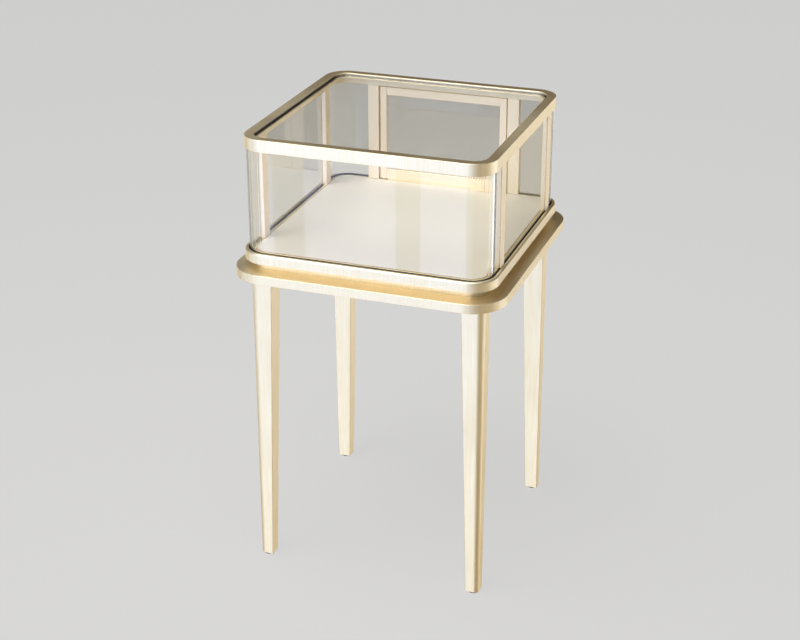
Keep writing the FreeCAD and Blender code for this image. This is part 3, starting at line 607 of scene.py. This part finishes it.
# A ray with a glossy depth above this has been mirrored
MIRRORED_DEPTH = 0.5
FLOOR_HALF = 40
paper, tree = new_finish("pale_studio_paper")
paper.cycles.emission_sampling = "NONE"
ray = add(tree, "ShaderNodeLightPath")
looked_at = add(tree, "ShaderNodeMath", {
    0: ray.outputs["Is Camera Ray"], 1: ray.outputs["Is Glossy Ray"]}, operation="MAXIMUM")
seen = add(tree, "ShaderNodeMath", {
    0: looked_at.outputs["Value"], 1: ray.outputs["Is Transmission Ray"]}, operation="MAXIMUM")
plain_share = add(tree, "ShaderNodeMath", {0: seen.outputs["Value"], 1: 1 - LIT_SHARE}, operation="MULTIPLY")
matte = add(tree, "ShaderNodeBsdfDiffuse", {"Color": linear(BACKDROP)})
pale = add(tree, "ShaderNodeEmission", {"Color": linear(BACKDROP), "Strength": 1.0})
surface = add(tree, "ShaderNodeMixShader", {
    0: plain_share.outputs["Value"], 1: matte.outputs["BSDF"], 2: pale.outputs["Emission"]})
mirrored = add(tree, "ShaderNodeMath", {
    0: ray.outputs["Glossy Depth"], 1: MIRRORED_DEPTH}, operation="GREATER_THAN")
under = add(tree, "ShaderNodeNewGeometry").outputs["Backfacing"]
gone = add(tree, "ShaderNodeMath", {0: mirrored.outputs["Value"], 1: under}, operation="MAXIMUM")
clear = add(tree, "ShaderNodeBsdfTransparent")
sheet = add(tree, "ShaderNodeMixShader", {
    0: gone.outputs["Value"], 1: surface.outputs["Shader"], 2: clear.outputs["BSDF"]})
add(tree, "ShaderNodeOutputMaterial", {"Surface": sheet.outputs["Shader"]})
mesh = bpy.data.meshes.new("studio_floor")
mesh.from_pydata([(-FLOOR_HALF, -FLOOR_HALF, 0), (FLOOR_HALF, -FLOOR_HALF, 0),
                  (FLOOR_HALF, FLOOR_HALF, 0), (-FLOOR_HALF, FLOOR_HALF, 0)], [], [(0, 1, 2, 3)])
mesh.materials.append(paper)
floor = bpy.data.objects.new("studio_floor", mesh)
scene.collection.objects.link(floor)

# The room by compass turn: 0 is the left, 0.25 the front, 0.5 the right and 0.75 the back. It has pale bays
# between dark piers on the left, bright windows left of the front, a dim stretch from the front round to
# the right, then two bright strips, and a pale back wall with one dark bay.
WALLS = (
    (0.000, "58544C"), (0.012, "D0D6E0"), (0.024, "D0D6E0"), (0.033, "5A564C"), (0.045, "C8CED8"),
    (0.057, "5A564C"), (0.075, "CCD2DC"), (0.088, "5A564C"), (0.106, "CCD4E0"), (0.122, "6E6A60"),
    (0.140, "A8AEB8"), (0.170, "8CA0C0"), (0.210, "8296B4"), (0.240, "8F9AAC"), (0.258, "B8C0CE"),
    (0.272, "7E7A70"), (0.290, "B4B6B8"), (0.306, "6F6858"), (0.345, "6A6250"), (0.440, "857B66"),
    (0.520, "756B58"), (0.540, "F0ECE4"), (0.562, "746C5C"), (0.585, "E4E6EA"), (0.604, "746C5C"),
    (0.625, "D4DCEA"), (0.668, "C4CCDA"), (0.676, "6A6458"), (0.720, "6A6458"), (0.728, "CCD4E2"),
    (0.880, "A4A49E"), (0.985, "6E6A5C"))
# The windows have a ramp of their own, as a ramp holds 32 stops: three panes with two grey piers between
FRONT_FROM = 0.17
FRONT_TO = 0.21
WINDOWS = (
    (0.1700, "8CA0C0"), (0.1745, "8CA0C0"), (0.1750, "D1DBFF"), (0.1829, "D1DBFF"), (0.1832, "A2AAB6"),
    (0.1860, "A2AAB6"), (0.1863, "D1DBFF"), (0.1953, "D1DBFF"), (0.1955, "A2AAB6"), (0.1978, "A2AAB6"),
    (0.1980, "D1DBFF"), (0.2034, "D1DBFF"), (0.2037, "747C88"), (0.2100, "8296B4"))
FRONT_CENTRE = (FRONT_FROM + FRONT_TO) / 2
FRONT_REACH = (FRONT_TO - FRONT_FROM) / 2
room = bpy.data.worlds.new("studio_room")
room.cycles.sampling_method = "NONE"
scene.world = room
room.use_nodes = True
tree = room.node_tree
tree.nodes.clear()
outlook = add(tree, "ShaderNodeTexCoord").outputs["Generated"]
compass = add(tree, "ShaderNodeTexGradient", {"Vector": outlook}, gradient_type="RADIAL").outputs["Fac"]


def ramp(place, stops):
    """A colour of the room that runs through stops of place and hex colour."""
    node = add(tree, "ShaderNodeValToRGB", {"Fac": place})
    elements = node.color_ramp.elements
    elements.remove(elements[1])
    for number, (at, colour) in enumerate(stops):
        stop = elements.new(at) if number else elements[0]
        stop.position = at
        stop.color = linear(colour)
    return node.outputs["Color"]


walls = ramp(compass, WALLS)
across = add(tree, "ShaderNodeMapRange", {"Value": compass, "From Min": FRONT_FROM, "From Max": FRONT_TO})
windows = ramp(across.outputs["Result"],
               [((at - FRONT_FROM) / (FRONT_TO - FRONT_FROM), colour) for at, colour in WINDOWS])
at_windows = add(tree, "ShaderNodeMath", {0: compass, 1: FRONT_CENTRE, 2: FRONT_REACH}, operation="COMPARE")
sides = add(tree, "ShaderNodeMix", {
    "Factor": at_windows.outputs["Value"], "A": walls, "B": windows}, data_type="RGBA")

# The front reaches fully to the first turn from the windows' middle, and ends at the second
FRONT_FULL = 0.07
FRONT_GONE = 0.12
offset = add(tree, "ShaderNodeMath", {0: compass, 1: FRONT_CENTRE}, operation="SUBTRACT")
aside = add(tree, "ShaderNodeMath", {0: offset.outputs["Value"]}, operation="ABSOLUTE")
frontness = add(tree, "ShaderNodeMapRange", {
    "Value": aside.outputs["Value"], "From Min": FRONT_FULL, "From Max": FRONT_GONE,
    "To Min": 1.0, "To Max": 0.0}, interpolation_type="SMOOTHSTEP").outputs["Result"]

# By height, the sine of the angle above the horizon: two heights, then the value at each. The ceiling
# begins lower behind than in front. The front is dim at the horizon, bright below it, where upright faces
# mirror it, and somewhat lit again above it.
CEILING_FRONT = (0.45, 0.7, 0.0, 1.0)
CEILING_BACK = (0.0, 0.22, 0.0, 1.0)
GAIN_FRONT = (-0.22, -0.46, 0.25, 1.72)
GAIN_BACK = (-0.24, -0.46, 1.15, 0.85)
LIFT_FRONT = (-0.02, 0.2, 0.0, 0.6)
LIFT_BACK = (-0.02, 0.2, 0.0, 0.0)
GROUND = {"From Min": -0.40, "From Max": -0.56}
UPPER = {"From Min": 0.0, "From Max": 0.3}
ROOM_GLOW = 2.4
height = add(tree, "ShaderNodeSeparateXYZ", {"Vector": outlook}).outputs["Z"]


def by_height(front, back):
    """A value that runs between two heights, and differs in front and behind."""
    runs = []
    for first, last, begin, end in (front, back):
        runs.append(add(tree, "ShaderNodeMapRange", {
            "Value": height, "From Min": first, "From Max": last, "To Min": begin, "To Max": end},
            interpolation_type="SMOOTHSTEP").outputs["Result"])
    return add(tree, "ShaderNodeMix", {"Factor": frontness, "A": runs[1], "B": runs[0]}).outputs["Result"]


ceiling = by_height(CEILING_FRONT, CEILING_BACK)
gain = add(tree, "ShaderNodeMath", {
    0: by_height(GAIN_FRONT, GAIN_BACK), 1: by_height(LIFT_FRONT, LIFT_BACK)}, operation="ADD")
glow = add(tree, "ShaderNodeMapRange", {"Value": ceiling, "To Min": ROOM_GLOW, "To Max": 1.0})
power = add(tree, "ShaderNodeMath", {
    0: glow.outputs["Result"], 1: gain.outputs["Value"]}, operation="MULTIPLY")

# Far below the horizon the room is sandy, above it cream; the dim ceiling keeps level metal faces olive.
low_down = add(tree, "ShaderNodeMapRange", {"Value": height, **GROUND}, interpolation_type="SMOOTHSTEP")
ground = add(tree, "ShaderNodeMix", {
    "Factor": low_down.outputs["Result"], "A": sides.outputs["Result"], "B": linear("DCC9A4")},
    data_type="RGBA", blend_type="MULTIPLY")
high_up = add(tree, "ShaderNodeMapRange", {"Value": height, **UPPER}, interpolation_type="SMOOTHSTEP")
upper = add(tree, "ShaderNodeMix", {
    "Factor": high_up.outputs["Result"], "A": ground.outputs["Result"], "B": linear("E4DCCA")},
    data_type="RGBA")
air = add(tree, "ShaderNodeMix", {
    "Factor": ceiling, "A": upper.outputs["Result"], "B": linear("4C463A")}, data_type="RGBA")
light = add(tree, "ShaderNodeBackground", {
    "Color": air.outputs["Result"], "Strength": power.outputs["Value"]})

# Beyond the paper the camera sees the same plain pale backdrop, straight and through the panes.
ray = add(tree, "ShaderNodeLightPath")
direct = add(tree, "ShaderNodeMath", {
    0: ray.outputs["Glossy Depth"], 1: MIRRORED_DEPTH}, operation="LESS_THAN")
through = add(tree, "ShaderNodeMath", {
    0: ray.outputs["Is Transmission Ray"], 1: direct.outputs["Value"]}, operation="MULTIPLY")
plain = add(tree, "ShaderNodeMath", {
    0: ray.outputs["Is Camera Ray"], 1: through.outputs["Value"]}, operation="MAXIMUM")
backdrop = add(tree, "ShaderNodeBackground", {"Color": linear(BACKDROP), "Strength": 1.0})
view = add(tree, "ShaderNodeMixShader", {
    0: plain.outputs["Value"], 1: light.outputs["Background"], 2: backdrop.outputs["Background"]})
add(tree, "ShaderNodeOutputWorld", {"Surface": view.outputs["Shader"]})


def soft_box(name, size, power, colour, at, towards):
    """A rectangular lamp that the camera doesn't see, straight or through glass."""
    data = bpy.data.lights.new(name, "AREA")
    data.shape = "RECTANGLE"
    data.size, data.size_y = size
    data.energy = power
    data.color = linear(colour)[:3]
    box = bpy.data.objects.new(name, data)
    box.location = at
    box.rotation_euler = (Vector(towards) - Vector(at)).to_track_quat("-Z", "Y").to_euler()
    box.visible_camera = False
    box.visible_transmission = False
    scene.collection.objects.link(box)


soft_box("overhead_soft_box", size=(2.4, 2.4), power=84, colour="FFFDF8", at=(-0.5, -0.9, 3.3),
         towards=(0, 0, 0.7))
soft_box("front_soft_box", size=(4.2, 1.6), power=138, colour="D4DCFC", at=(-2.4, -6.8, 0.5),
         towards=(0, 0, 0.8))

# The camera stands to the right of the front and looks down on the middle of the cabinet.
CAMERA_TURN = math.radians(19.30)
CAMERA_RISE = math.radians(24.25)
CAMERA_DISTANCE = 3.783
CAMERA_TARGET = Vector((-0.0003, -0.0001, 0.5152))
SENSOR_WIDTH = 36
FOCAL_LENGTH = 75.37
FRAME_SHIFT = -0.0067
to_camera = Vector((math.sin(CAMERA_TURN) * math.cos(CAMERA_RISE),
                    -math.cos(CAMERA_TURN) * math.cos(CAMERA_RISE), math.sin(CAMERA_RISE)))
lens = bpy.data.cameras.new("photo_camera")
lens.sensor_width = SENSOR_WIDTH
lens.lens = FOCAL_LENGTH
lens.shift_x = FRAME_SHIFT
camera = bpy.data.objects.new("photo_camera", lens)
camera.location = CAMERA_TARGET + CAMERA_DISTANCE * to_camera
camera.rotation_euler = (-to_camera).to_track_quat("-Z", "Y").to_euler()
scene.collection.objects.link(camera)
scene.camera = camera
